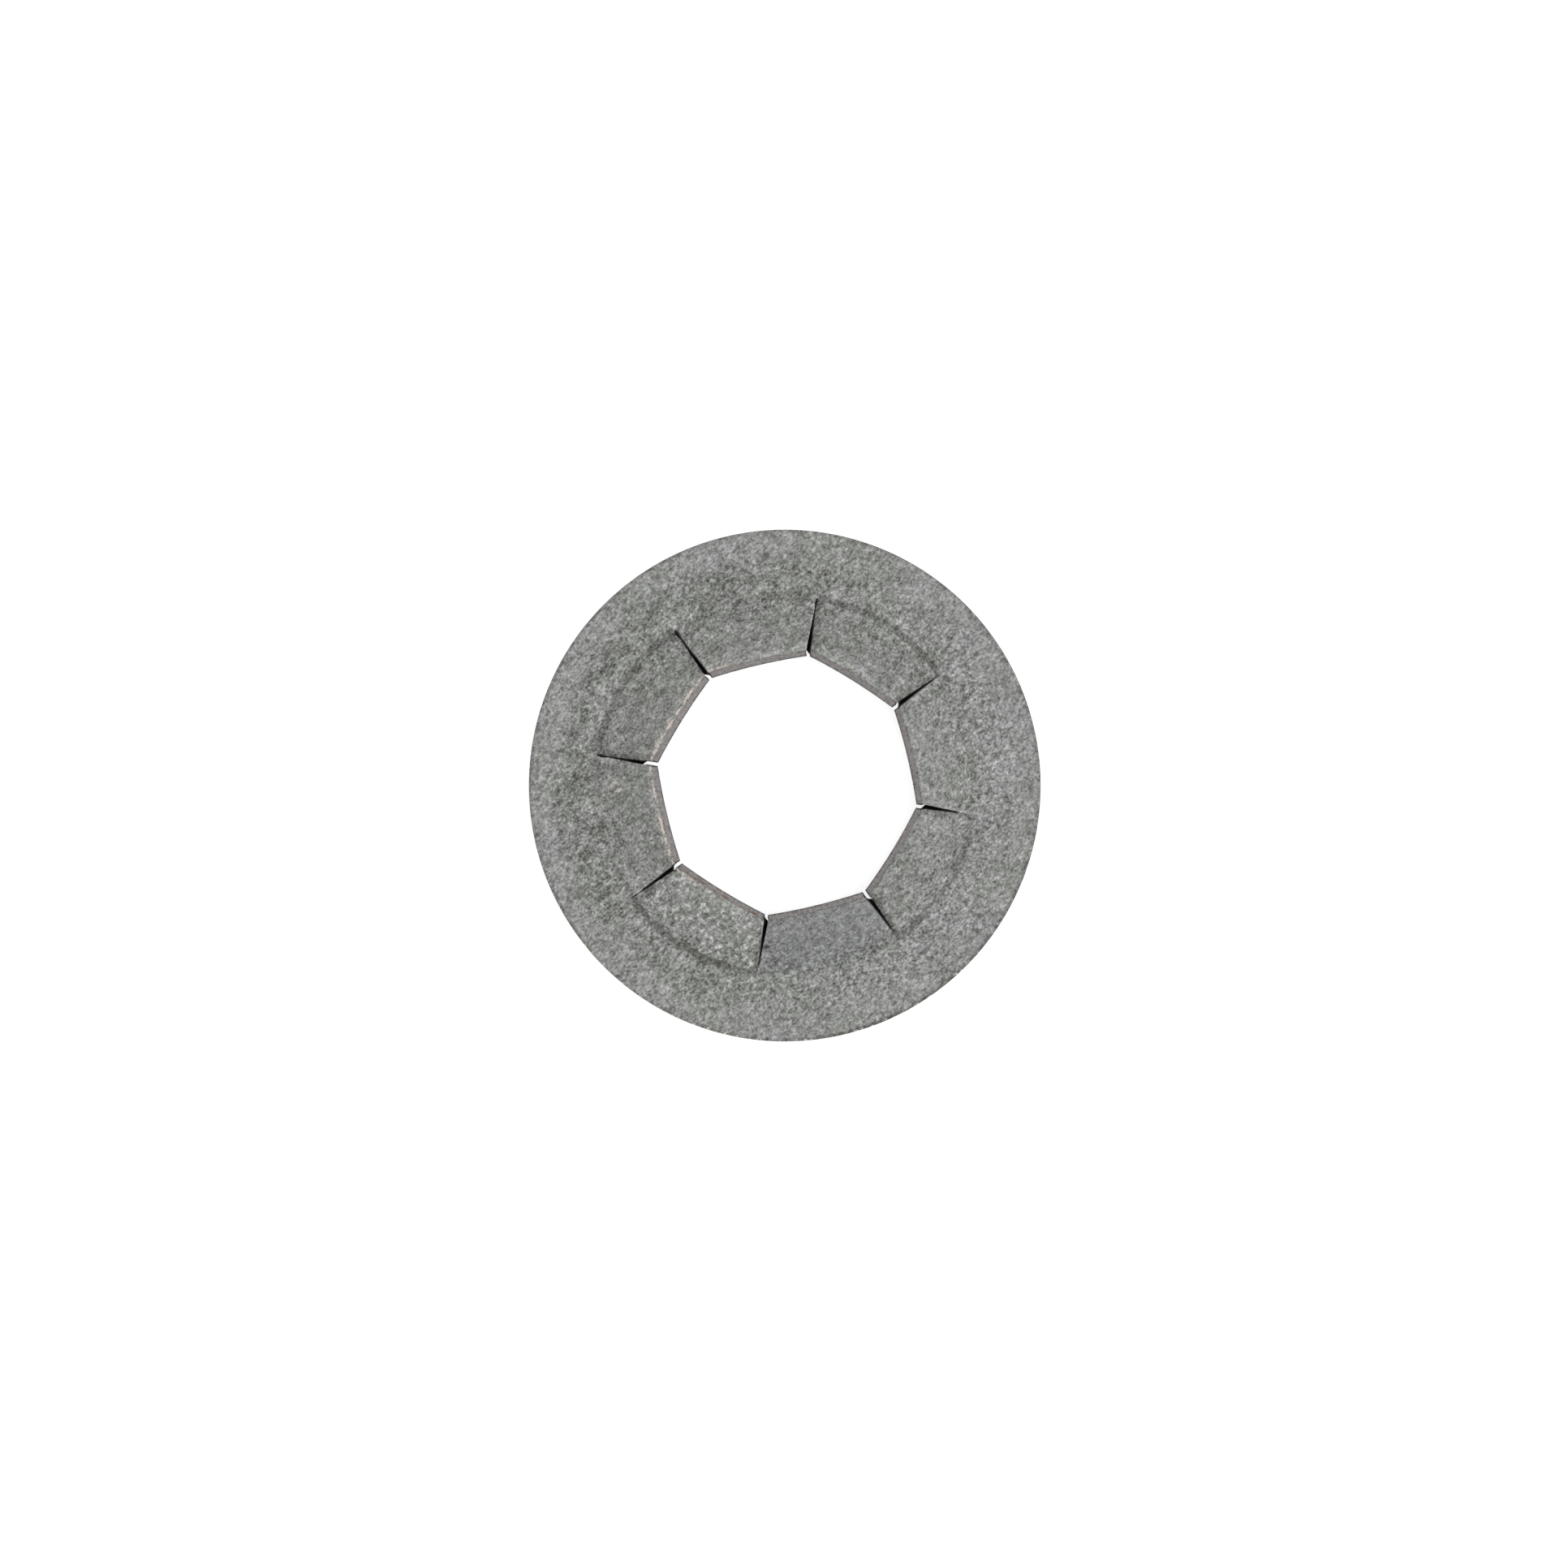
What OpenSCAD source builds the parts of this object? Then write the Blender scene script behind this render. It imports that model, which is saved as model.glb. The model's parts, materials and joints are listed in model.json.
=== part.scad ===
// Push-on retaining ring: a flat spring-steel ring whose inner edge is slit into tabs.
// The tabs are bent up out of the flat rim, and their tips bite on a plain round shaft.
// The rim lies flat on z = 0, the shaft axis is Z and the tabs rise towards +Z.

/* [Ring] */
// Outside diameter of the flat rim
outer_d = 12.7; // [11.5:0.1:16]
// Thickness of the steel strip
sheet_t = 0.36; // [0.2:0.02:0.44]
// Radius rolled over the upper outer edge by the punch
edge_roll_r = 0.06; // [0.02:0.01:0.1]

/* [Tabs] */
// Number of tabs round the inner edge
tab_count = 8; // [6:1:12]
// Diameter of the circle that just touches the tab tips, before the ring is pushed on
tip_circle_d = 6.1; // [5.2:0.05:6.8]
// Diameter of the circle on which the slits end and the tabs bend up
fold_d = 9.44; // [8.8:0.02:10.2]
// Angle at which the tabs stand up from the rim, in degrees
tab_angle = 27; // [20:1:40]
// Radius in the hollow of the bend on every other tab, bent over a crisp edge
crisp_bend_r = 0.12; // [0.06:0.02:0.3]
// Radius in the hollow of the bend on the tabs between, bent over a soft edge
soft_bend_r = 0.42; // [0.3:0.02:0.6]

/* [Slits] */
// Width of a slit on the underside at the tab tips
slit_tip_w = 0.06; // [0.04:0.01:0.16]
// Width of a slit on the underside where it ends at the fold
slit_root_w = 0.03; // [0.02:0.01:0.05]

/* [Hidden] */
$fn = 180;

outer_r = outer_d / 2;
tip_r = tip_circle_d / 2;
fold_r = fold_d / 2;
tab_pitch = 360 / tab_count;

// Each tab's wedge stops short of its neighbours by half a slit, so that they never meet
wedge_slope = tan(tab_pitch / 2 - asin(slit_root_w / 4 / fold_r));
steel_grey = [0.53, 0.53, 0.52];

// Spare strip past the tips and spare height round the strip, both taken off by the trimming
tip_spare = 3 * sheet_t;
trim_spare = 2 * sheet_t;

// Height of the bodies that trim the tabs
trim_h = tab_reach(crisp_bend_r) + tip_spare + trim_spare;

// How far the strip of a tab runs on into the flat rim
root_run = sheet_t;

// Point on the underside where the bend ends and the straight tab starts, as [radius, height]
function tab_start(bend_r) = [
    fold_r - (bend_r + sheet_t) * sin(tab_angle),
    (bend_r + sheet_t) * (1 - cos(tab_angle))
];

// Length of the straight tab along its slope, from the bend to the middle of the tip
function tab_reach(bend_r) = (tab_start(bend_r)[0] - tip_r) / cos(tab_angle);

// A point of the conical underside, given by its radius and its angle from the middle of the tab,
// seen square to the tab: x runs down the slope from the end of the bend, y across the tab
function on_tab(bend_r, radius, angle) = let(start = tab_start(bend_r)) [
    (radius * cos(angle) - start[0]) * cos(tab_angle)
        + (radius - start[0]) * tan(tab_angle) * sin(tab_angle),
    radius * sin(angle)
];

// Angle from the middle of a tab to its flank, half a slit short of the next tab's share
function flank_angle(radius, slit_w) = tab_pitch / 2 - asin(slit_w / 2 / radius);

// Bend radius of each tab in turn
function tab_bend_r(i) = i % 2 == 0 ? crisp_bend_r : soft_bend_r;

// Upright section of the flat rim, with its upper outer edge rolled over
module rim_section() {
    difference() {
        translate([fold_r, 0]) square([outer_r - fold_r, sheet_t]);
        translate([outer_r - edge_roll_r, sheet_t - edge_roll_r]) difference() {
            square(2 * edge_roll_r);
            circle(edge_roll_r);
        }
    }
}

// Everything above a line that comes in flat at one height and bends up, drawn from the fold inwards
module above_bend(line_z, radius, length, height) {
    bend_centre = [0, line_z + radius];
    difference() {
        intersection() {
            translate([-length, line_z]) square([length + root_run, height]);
            translate(bend_centre) rotate(-tab_angle)
                translate([-length, -radius]) square([length + height, height]);
        }
        translate(bend_centre) difference() {
            intersection() {
                translate([-height, -height]) square(height);
                rotate(-tab_angle) translate([0, -height]) square(height);
            }
            circle(radius);
        }
    }
}

// Upright section of a tab: a flat root inside the rim, the bend, then the straight strip that climbs inwards
module tab_section(bend_r) {
    strip = tab_reach(bend_r) + tip_spare;
    translate([fold_r, 0]) difference() {
        above_bend(0, bend_r + sheet_t, strip, strip);
        above_bend(sheet_t, bend_r, 2 * strip, 2 * strip);
    }
}

// Space that one tab may fill: its outline seen square to the tab, swept through the sheet,
// so that the flanks and the tip lean with the bent sheet
module tab_space(bend_r) {
    start = tab_start(bend_r);
    tip_x = -tab_reach(bend_r);
    tip_corner_r = tip_r / cos(tab_pitch / 2);
    tip_flank = on_tab(bend_r, tip_corner_r, flank_angle(tip_corner_r, slit_tip_w));
    root_flank = on_tab(bend_r, fold_r, flank_angle(fold_r, slit_root_w));
    flank_run = (root_flank[1] - tip_flank[1]) / (root_flank[0] - tip_flank[0]);
    tip_y = tip_flank[1] + (tip_x - tip_flank[0]) * flank_run;
    rear_x = root_flank[0] + trim_spare;
    rear_y = root_flank[1] + trim_spare * flank_run;
    translate([start[0], 0, start[1]]) rotate([0, tab_angle, 0])
        translate([0, 0, -trim_spare])
            linear_extrude(sheet_t + 2 * trim_spare)
                polygon([[tip_x, -tip_y], [rear_x, -rear_y], [rear_x, rear_y], [tip_x, tip_y]]);
}

// Everything inside the fold that is not a tab: the hole and the slits
module hole_and_slits() {
    difference() {
        translate([0, 0, -trim_spare]) cylinder(r = fold_r, h = trim_h);
        for (i = [0 : tab_count - 1])
            rotate((i + 0.5) * tab_pitch) tab_space(tab_bend_r(i));
    }
}

// Wedges that hold every other tab, from the first one on
module tab_wedges(first) {
    near = tip_r / 2;
    for (i = [first : 2 : tab_count - 1])
        rotate((i + 0.5) * tab_pitch) translate([0, 0, -trim_spare]) linear_extrude(trim_h)
            polygon([
                [near, -near * wedge_slope], [outer_r, -outer_r * wedge_slope],
                [outer_r, outer_r * wedge_slope], [near, near * wedge_slope]
            ]);
}

// The whole ring: the flat rim, the tabs formed round the fold, and the slits between them
module retaining_ring() {
    color(steel_grey) difference() {
        union() {
            rotate_extrude() rim_section();
            for (first = [0, 1]) intersection() {
                rotate_extrude() tab_section(tab_bend_r(first));
                tab_wedges(first);
            }
        }
        hole_and_slits();
    }
}

retaining_ring();
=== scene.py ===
"""Push-on retaining ring: the finished look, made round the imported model.

Every length is in metres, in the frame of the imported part: the rim lies on z = 0 and the shaft axis is Z.
The ring is one profile carried round the rim and one bent block for each tab, joined along the fold.
"""

import json
import math

import bpy
import numpy as np
from bpy.props import FloatProperty, FloatVectorProperty, IntProperty, PointerProperty
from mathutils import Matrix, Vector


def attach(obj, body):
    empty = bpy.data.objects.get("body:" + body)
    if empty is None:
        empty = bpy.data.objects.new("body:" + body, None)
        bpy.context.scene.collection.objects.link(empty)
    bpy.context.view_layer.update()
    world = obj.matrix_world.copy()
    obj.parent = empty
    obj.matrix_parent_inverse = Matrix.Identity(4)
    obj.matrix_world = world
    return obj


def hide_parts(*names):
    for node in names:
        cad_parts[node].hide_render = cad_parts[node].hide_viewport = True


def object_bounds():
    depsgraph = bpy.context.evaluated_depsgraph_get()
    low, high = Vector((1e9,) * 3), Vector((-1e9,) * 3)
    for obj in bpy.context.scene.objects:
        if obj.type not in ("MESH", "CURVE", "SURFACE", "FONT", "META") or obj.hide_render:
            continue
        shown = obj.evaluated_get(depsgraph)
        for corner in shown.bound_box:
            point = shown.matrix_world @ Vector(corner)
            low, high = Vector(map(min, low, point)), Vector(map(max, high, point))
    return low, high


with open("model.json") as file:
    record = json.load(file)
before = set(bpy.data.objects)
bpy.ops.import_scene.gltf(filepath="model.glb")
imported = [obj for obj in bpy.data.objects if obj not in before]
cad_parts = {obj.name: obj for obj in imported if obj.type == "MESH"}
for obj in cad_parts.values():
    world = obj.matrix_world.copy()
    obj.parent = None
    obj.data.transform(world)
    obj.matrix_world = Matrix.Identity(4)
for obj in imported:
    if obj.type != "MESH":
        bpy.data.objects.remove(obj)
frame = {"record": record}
cad_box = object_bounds()

bl_info = {
    "name": "Push-on retaining ring",
    "version": (1, 0, 0),
    "blender": (4, 5, 0),
    "location": "View3D > Sidebar > Ring",
    "description": "Forms a push-on retaining ring with its phosphate finish, on a plain stage",
    "category": "Add Mesh",
}

MM = 0.001
MOUNTS = {mount["name"]: mount["pos_m"] for mount in frame["record"]["mounts"]}
STRIP_THICKNESS = MOUNTS["push_face"][2] - MOUNTS["rim_seat"][2]
ROOT_BODY = "root"
RING_NODE = "retaining_ring"
STEEL_SLOT = "phosphate_steel"


def millimetres(*values):
    """Lengths in metres, given in millimetres."""
    return tuple(value * MM for value in values)


def length(name, description, default):
    """A length that the user may change, in metres."""
    return FloatProperty(name=name, description=description, default=default, min=0, unit="LENGTH")


def offset(name, description, default):
    """A length to one side or the other that the user may change, in metres."""
    return FloatProperty(name=name, description=description, default=default, unit="LENGTH")


def slit_lengths(name, description, *values):
    """A length for each slit in turn that the user may change, given in millimetres."""
    return FloatVectorProperty(name=name, description=description, default=millimetres(*values),
                               size=len(values), min=0, unit="LENGTH")


def angle(name, description, degrees):
    """An angle that the user may change, given in degrees and kept in radians."""
    return FloatProperty(name=name, description=description, default=math.radians(degrees),
                         subtype="ANGLE", unit="ROTATION")


def share(name, description, default):
    """A number from 0 to 1 that the user may change."""
    return FloatProperty(name=name, description=description, default=default,
                         min=0, max=1, subtype="FACTOR")


def level(name, description, default):
    """A strength of light that the user may change."""
    return FloatProperty(name=name, description=description, default=default, min=0)


def whole(name, description, default, least=0, most=11):
    """A whole number that the user may change, by default the number of a tab."""
    return IntProperty(name=name, description=description, default=default, min=least, max=most)


def colour(name, description, default):
    """A linear colour that the user may change."""
    return FloatVectorProperty(name=name, description=description, default=default, size=3,
                               min=0, max=1, subtype="COLOR")


class RingSizes(bpy.types.PropertyGroup):
    """Sizes of the ring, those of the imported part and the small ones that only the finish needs."""

    outer_d: length("Outside diameter", "Across the flat rim", cad_box[1].x - cad_box[0].x)
    sheet_t: length("Strip thickness", "Thickness of the steel strip", STRIP_THICKNESS)
    edge_roll_r: length("Outer edge roll", "Radius rolled over the upper outer edge", 0.06 * MM)
    cut_roll_r: length("Cut edge roll", "Radius rolled over the upper edge of slits and tips", 0.03 * MM)
    flank_roll_w: length("Flank roll width", "Width of the roll along the slits on crisp tabs", 0.18 * MM)
    flank_roll_h: length("Flank roll depth", "Depth of the roll along the slits on crisp tabs", 0.05 * MM)
    tab_count: whole("Tabs", "Number of tabs round the inner edge", 8, 6, 12)
    tip_circle_d: length("Tip circle", "Across the circle that just touches the tab tips", 6.1 * MM)
    tip_offset: length("Tip offset", "How far the tip circle and the slits lie off the axis", 0.06 * MM)
    tip_offset_turn: angle("Tip offset direction", "Direction of the tip circle from the axis", -29)
    fold_d: length("Fold circle", "Across the circle where slits end and tabs bend up", 9.44 * MM)
    tab_angle: angle("Tab angle", "How steeply the tabs stand up from the rim", 27)
    crisp_bend_r: length("Crisp bend", "Radius in the hollow of the bend on every other tab", 0.12 * MM)
    soft_bend_r: length("Soft bend", "Radius in the hollow of the bend on the tabs between", 0.42 * MM)
    slit_root_w: length("Slit width", "Width of a slit underneath, from the fold to its mouth", 0.006 * MM)
    slit_mouth_w: length("Slit mouth width", "Width of a slit underneath, at the tab tips", 0.075 * MM)
    slit_mouths: slit_lengths("Slit mouths", "Length of each slit's mouth, open underneath",
                              0.2, 0.1, 0.16, 0.4, 0.28, 0.13, 0.31, 0.21)
    slit_shuts: slit_lengths("Shut slit ends", "Length of each slit that is pressed shut at the fold",
                             0.19, 0, 0, 0, 0.42, 0.18, 0.35, 0.47)
    slit_top_w: length("Slit width on top", "Width of a slit on top, at the tab tips", 0.135 * MM)
    slit_gape: length("Slit gape", "Width that the widest slit has on top at the fold", 0.09 * MM)
    slit_gape_turn: angle("Gaping side", "Direction in which the slits are widest at the fold", 100)
    slit_lean: length("Slit lean", "How far a slit leans sideways through the strip", 0.075 * MM)
    crease_depth: length("Crease depth", "Depth of the groove in the hollow of a crisp bend", 0.006 * MM)


class RingFinish(bpy.types.PropertyGroup):
    """Colours, grain and wear of the phosphate finish."""

    dark_grain: colour("Dark grain", "Colour in the deepest pits of the coating", (0.02, 0.02, 0.015))
    pale_grain: colour("Pale grain", "Colour on the palest crystals of the coating", (0.85, 0.85, 0.85))
    olive_tint: colour("Olive tint", "Tint of the coating where it is pressed", (0.974, 1.0, 0.946))
    grey_tint: colour("Grey tint", "Tint of the coating elsewhere", (0.998, 0.992, 0.996))
    cool_tint: colour("Cool tint", "Tint of the coating on the smoothest tab", (0.978, 1.0, 0.997))
    # In the slits this colour is painted shade; on torn faces it is the steel's own dark.
    torn_dark_and_slit_shade: colour("Dark cut", "Colour in the slits and where a cut face tore", (0.010, 0.010, 0.011))
    cut_pale: colour("Pale cut", "Colour of the burnished part of a cut face", (0.50, 0.475, 0.465))
    bare_steel: colour("Bare steel", "Colour where the coating has worn through", (0.76, 0.63, 0.57))
    rust: colour("Rust", "Colour of the faint rust on the cut faces", (0.21, 0.125, 0.095))
    roughness: share("Roughness", "How matt the coating is", 0.72)
    reflection: share("Reflection", "How much the coating mirrors", 0.2)
    bare_gloss: share("Bare gloss", "How much less matt the bare steel is", 0.25)
    bare_metal: share("Bare metal", "How metallic the bare steel is", 0.7)
    grain_size: length("Grain size", "Size of one grain of the coating", 0.054 * MM)
    grain_height: length("Grain height", "Height of the grains that catch the light", 0.012 * MM)
    grain_relief: share("Grain relief", "How strongly the grains catch the light", 0.4)
    strip_turn: angle("Strip direction", "Direction in which the strip and its grain were rolled", 9)
    streak_size: length("Streak size", "Width of one streak on a cut face", 0.07 * MM)
    worn_side: angle("Worn side", "Direction in which the tips are most worn", 135)
    pale_tip_side: angle("Pale tip side", "Direction in which the tips are rubbed palest", 80)
    pressed_side: angle("Pressed side", "Direction in which the fold is pressed deepest", 130)
    # Tabs on this side are painted paler: painted light on the side of the key lamp.
    lit_tab_side: angle("Pale side", "Direction in which the tabs are palest", -30)
    chipped_side: angle("Chipped side", "Direction in which the outer edge is most chipped", 234)
    # The painted shade along the rolled outer edge is deepest on this side.
    dark_edge_side: angle("Dark edge side", "Direction in which the outer edge is darkest", 269)
    coarse_tab: whole("Coarse tab", "Tab with the coarsest coating", 4)
    smooth_tab: whole("Smooth tab", "Tab with the smoothest coating", 5)
    worn_spot_r: length("Worn spot", "Distance of the worn spot from the axis", 4.18 * MM)
    worn_spot_turn: angle("Worn spot direction", "Direction of the worn spot from the axis", 145)
    worn_spot_size: length("Worn spot size", "Radius of the worn spot", 0.2 * MM)
    # The dark speck is painted shade, standing in for a small pit.
    dark_speck_r: length("Dark speck", "Distance of the dark speck from the axis", 4.02 * MM)
    dark_speck_turn: angle("Dark speck direction", "Direction of the dark speck from the axis", 227.7)
    dark_speck_size: length("Dark speck size", "Radius of the dark speck", 0.085 * MM)


class StageSettings(bpy.types.PropertyGroup):
    """The floor, the light and the camera."""

    floor_size: length("Floor size", "Side of the square floor", 1.2)
    floor_gap: length("Floor gap", "How far the floor lies under the rim", 0.004 * MM)
    floor_colour: colour("Floor colour", "Colour of the pale floor", (0.96, 0.96, 0.96))
    floor_glow: share("Floor glow", "White added to the floor where the camera sees it", 0.6)
    ambient: level("Ambient", "Strength of the even light all round", 0.696)
    key_level: level("Key", "Brightness that the key lamp adds to a white floor", 0.15)
    key_turn: angle("Key direction", "Direction that the key lamp shines from, round the axis", -46)
    key_rise: angle("Key height", "Angle of the key lamp above the floor", 52)
    key_distance: length("Key distance", "Distance of the key lamp from the ring", 0.4)
    key_size: length("Key size", "Side of the square key lamp", 0.3)
    lens: FloatProperty(name="Lens", description="Focal length of the camera, in millimetres",
                        default=120, min=1, unit="CAMERA")
    nearest: length("Nearest", "Distance from the camera at which the picture starts", 1 * MM)
    frame_width: length("Frame width", "Width of the picture at the rim's upper face", 38.885 * MM)
    camera_turn: angle("Camera turn", "Turn of the picture about the axis", -35.84)
    camera_right: offset("Camera right", "Camera's place to the right of the axis", -0.019 * MM)
    camera_up: offset("Camera up", "Camera's place above the axis in the picture", 0.039 * MM)


class Patches:
    """Grids of points for one mesh, with the values along them that the finish reads.

    The values are the distances up from the fold (along) and round it (around), the layer in the strip
    from 0 underneath to 1 on top, the distances from the tip and from the nearer flank, how hard the fold
    is pressed (crease), and how coarse the coating is, from -1 on the smoothest tab to 1 on the coarsest.
    """

    VALUES = ("along", "around", "layer", "tip", "flank", "crease", "coarse")
    WELD_STEP = 1e-8
    SHARP_ANGLE = math.radians(38)

    def __init__(self):
        self.points = []
        self.values = {name: [] for name in self.VALUES}
        self.quads = []
        self.size = 0

    def add(self, points, flip, **values):
        """Add a grid of points; its faces look along columns x rows, or the other way if flip is true."""
        rows, columns = points.shape[:2]
        index = self.size + np.arange(rows * columns).reshape(rows, columns)
        corners = [index[:-1, :-1], index[:-1, 1:], index[1:, 1:], index[1:, :-1]]
        quads = np.stack([corner.ravel() for corner in corners], axis=1)
        self.quads.append(quads[:, ::-1] if flip else quads)
        self.points.append(points.reshape(-1, 3))
        for name in self.VALUES:
            self.values[name].append(np.broadcast_to(values[name], (rows, columns)).ravel())
        self.size += rows * columns

    def mesh(self, name):
        """One closed mesh: points that meet are welded by rounding their places to a common step."""
        points = np.concatenate(self.points)
        keys = np.round(points / self.WELD_STEP).astype(np.int64)
        _, first, welded = np.unique(keys, axis=0, return_index=True, return_inverse=True)
        quads = welded.ravel()[np.concatenate(self.quads)]
        mesh = bpy.data.meshes.new(name)
        mesh.from_pydata(points[first].tolist(), [], quads.tolist())
        for value_name, parts in self.values.items():
            attribute = mesh.attributes.new(value_name, "FLOAT", "POINT")
            attribute.data.foreach_set("value", np.concatenate(parts)[first].astype(np.float32))
        mesh.shade_smooth()
        mesh.set_sharp_from_angle(angle=self.SHARP_ANGLE)
        mesh.validate()
        return mesh


def smooth(value, start, end):
    """Rises from 0 at start to 1 at end, level at both."""
    part = np.clip((value - start) / (end - start), 0, 1)
    return part * part * (3 - 2 * part)


def rolled_drop(distance, width, depth):
    """How far a rolled edge has dropped at a distance from it: a quarter of an ellipse, width by depth."""
    inside = np.clip(1 - distance / width, 0, 1)
    return depth * (1 - np.sqrt(1 - inside ** 2))


def round_axis(radius, height, azimuth):
    """Points at a radius and height, turned about the axis by each azimuth."""
    x = radius * np.cos(azimuth)
    y = radius * np.sin(azimuth)
    z = height + 0 * azimuth
    return np.stack(np.broadcast_arrays(x, y, z), axis=-1)


def is_soft(number):
    """Whether a tab is bent over a soft edge; every other one is, and those between over a crisp edge."""
    return number % 2 == 1


class Tab:
    """One tab as a bent block.

    A point of it is given by across, from -1 to 1 between the flanks, by bend, the share of the bend made
    so far, by slope, the share of the straight part above the bend, and by layer, from 0 underneath to 1 on
    top. Reach is the share of the way from the fold to the tip, seen from above.
    A longer tab is bent less, so that all the tips come to one height.
    """

    # Power of reach, below one, by which a slit widens on top
    SLIT_POWER = 0.85
    # Half the reach over which a slit opens into its mouth, and over which it parts past its shut end
    MOUTH_EASE = 0.025
    SHUT_EASE = 0.04
    # Reach over which the gape of a slit begins and fades
    GAPE_BEGINS = (-0.03, 0.05)
    GAPE_FADES = (0.06, 0.2)

    def __init__(self, sizes, number):
        self.sizes = sizes
        self.number = number
        self.pitch = 2 * math.pi / sizes.tab_count
        self.centre = (number + 0.5) * self.pitch
        self.bend_r = sizes.soft_bend_r if is_soft(number) else sizes.crisp_bend_r
        self.fold_r = sizes.fold_d / 2
        nominal_tip_r = sizes.tip_circle_d / 2
        self.tip_r = nominal_tip_r + sizes.tip_offset * math.cos(self.centre - sizes.tip_offset_turn)
        self.reach = self.fold_r - self.tip_r
        self.angle = math.atan(math.tan(sizes.tab_angle) * (self.fold_r - nominal_tip_r) / self.reach)
        self.straight = self.reach / math.cos(self.angle)

    def slit_share(self, lengths, side):
        """The length that belongs to the slit on one side of the tab, as a share of the straight tab."""
        slit = (self.number + np.greater(side, 0)) % self.sizes.tab_count % len(lengths)
        return np.array(lengths)[slit] / self.straight

    def opened(self, reach, side):
        """1 in the mouth of the slit on one side of the tab and 0 before it."""
        mouth = 1 - self.slit_share(self.sizes.slit_mouths, side)
        return smooth(reach, mouth - self.MOUTH_EASE, mouth + self.MOUTH_EASE)

    def slit_width(self, reach, layer, side):
        """Width of the slit on one side of the tab.

        On top it opens from the fold to the tips, as a power of reach. Near the fold some slits gape and
        others are pressed shut. Underneath it is nearly shut as far as its mouth.
        """
        sizes = self.sizes
        toward = np.cos(self.centre + side * self.pitch / 2 - sizes.slit_gape_turn)
        gaping = np.clip(toward, 0, 1) * smooth(reach, *self.GAPE_BEGINS)
        gape = sizes.slit_gape * gaping * (1 - smooth(reach, *self.GAPE_FADES))
        shut = self.slit_share(sizes.slit_shuts, side)
        parted = reach ** self.SLIT_POWER * smooth(reach, shut - self.SHUT_EASE, shut + self.SHUT_EASE)
        top = sizes.slit_root_w + gape + (sizes.slit_top_w - sizes.slit_root_w) * parted
        under = sizes.slit_root_w + (sizes.slit_mouth_w - sizes.slit_root_w) * self.opened(reach, side)
        return under + (np.maximum(under, top) - under) * layer

    def azimuth(self, across, reach, layer):
        """Angle round the axis from the middle of the tab.

        A flank lies half a slit short of half the pitch. The slits run to the middle of the tip circle, so
        they pass the axis a little aside. They also lean, so that light comes straight through only in
        their mouths.
        """
        sizes = self.sizes
        side = np.sign(across)
        radius = self.fold_r - self.reach * reach
        half = self.pitch / 2 - np.arcsin(self.slit_width(reach, layer, side) / 2 / radius)
        lean = sizes.slit_lean * (1 - layer) * (1 - self.opened(reach, side))
        aside = sizes.tip_offset * np.sin(sizes.tip_offset_turn - self.centre - side * self.pitch / 2)
        return across * half + np.abs(across) * (lean + aside) / radius

    def place(self, across, bend, slope, layer):
        """Points of the block, and how far up the slope they lie.

        In the bend the sheet turns about a centre above the fold: radius = fold radius - arm sin(turn) and
        height = outside radius - arm cos(turn), where arm is the layer's distance from that centre. The
        straight part climbs at the full angle to a plane square to the tab, where
        radius = (tip radius + layer thickness sin) / (cos(azimuth) cos^2 + sin^2).
        """
        sheet_t = self.sizes.sheet_t
        turn = bend * self.angle
        rise, run = math.sin(self.angle), math.cos(self.angle)
        arm = self.bend_r + sheet_t * (1 - layer)
        radius = self.fold_r - arm * np.sin(turn)
        height = self.bend_r + sheet_t - arm * np.cos(turn)
        tip_layer_r = self.tip_r + layer * sheet_t * rise
        reach = (self.fold_r - radius + slope * (radius - tip_layer_r)) / self.reach
        azimuth = self.azimuth(across, np.clip(reach, 0, 1), layer)
        tip_here = tip_layer_r / (np.cos(azimuth) * run ** 2 + rise ** 2)
        climb = slope * (radius - tip_here) / run
        return round_axis(radius - climb * run, height + climb * rise, self.centre + azimuth), climb


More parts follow.
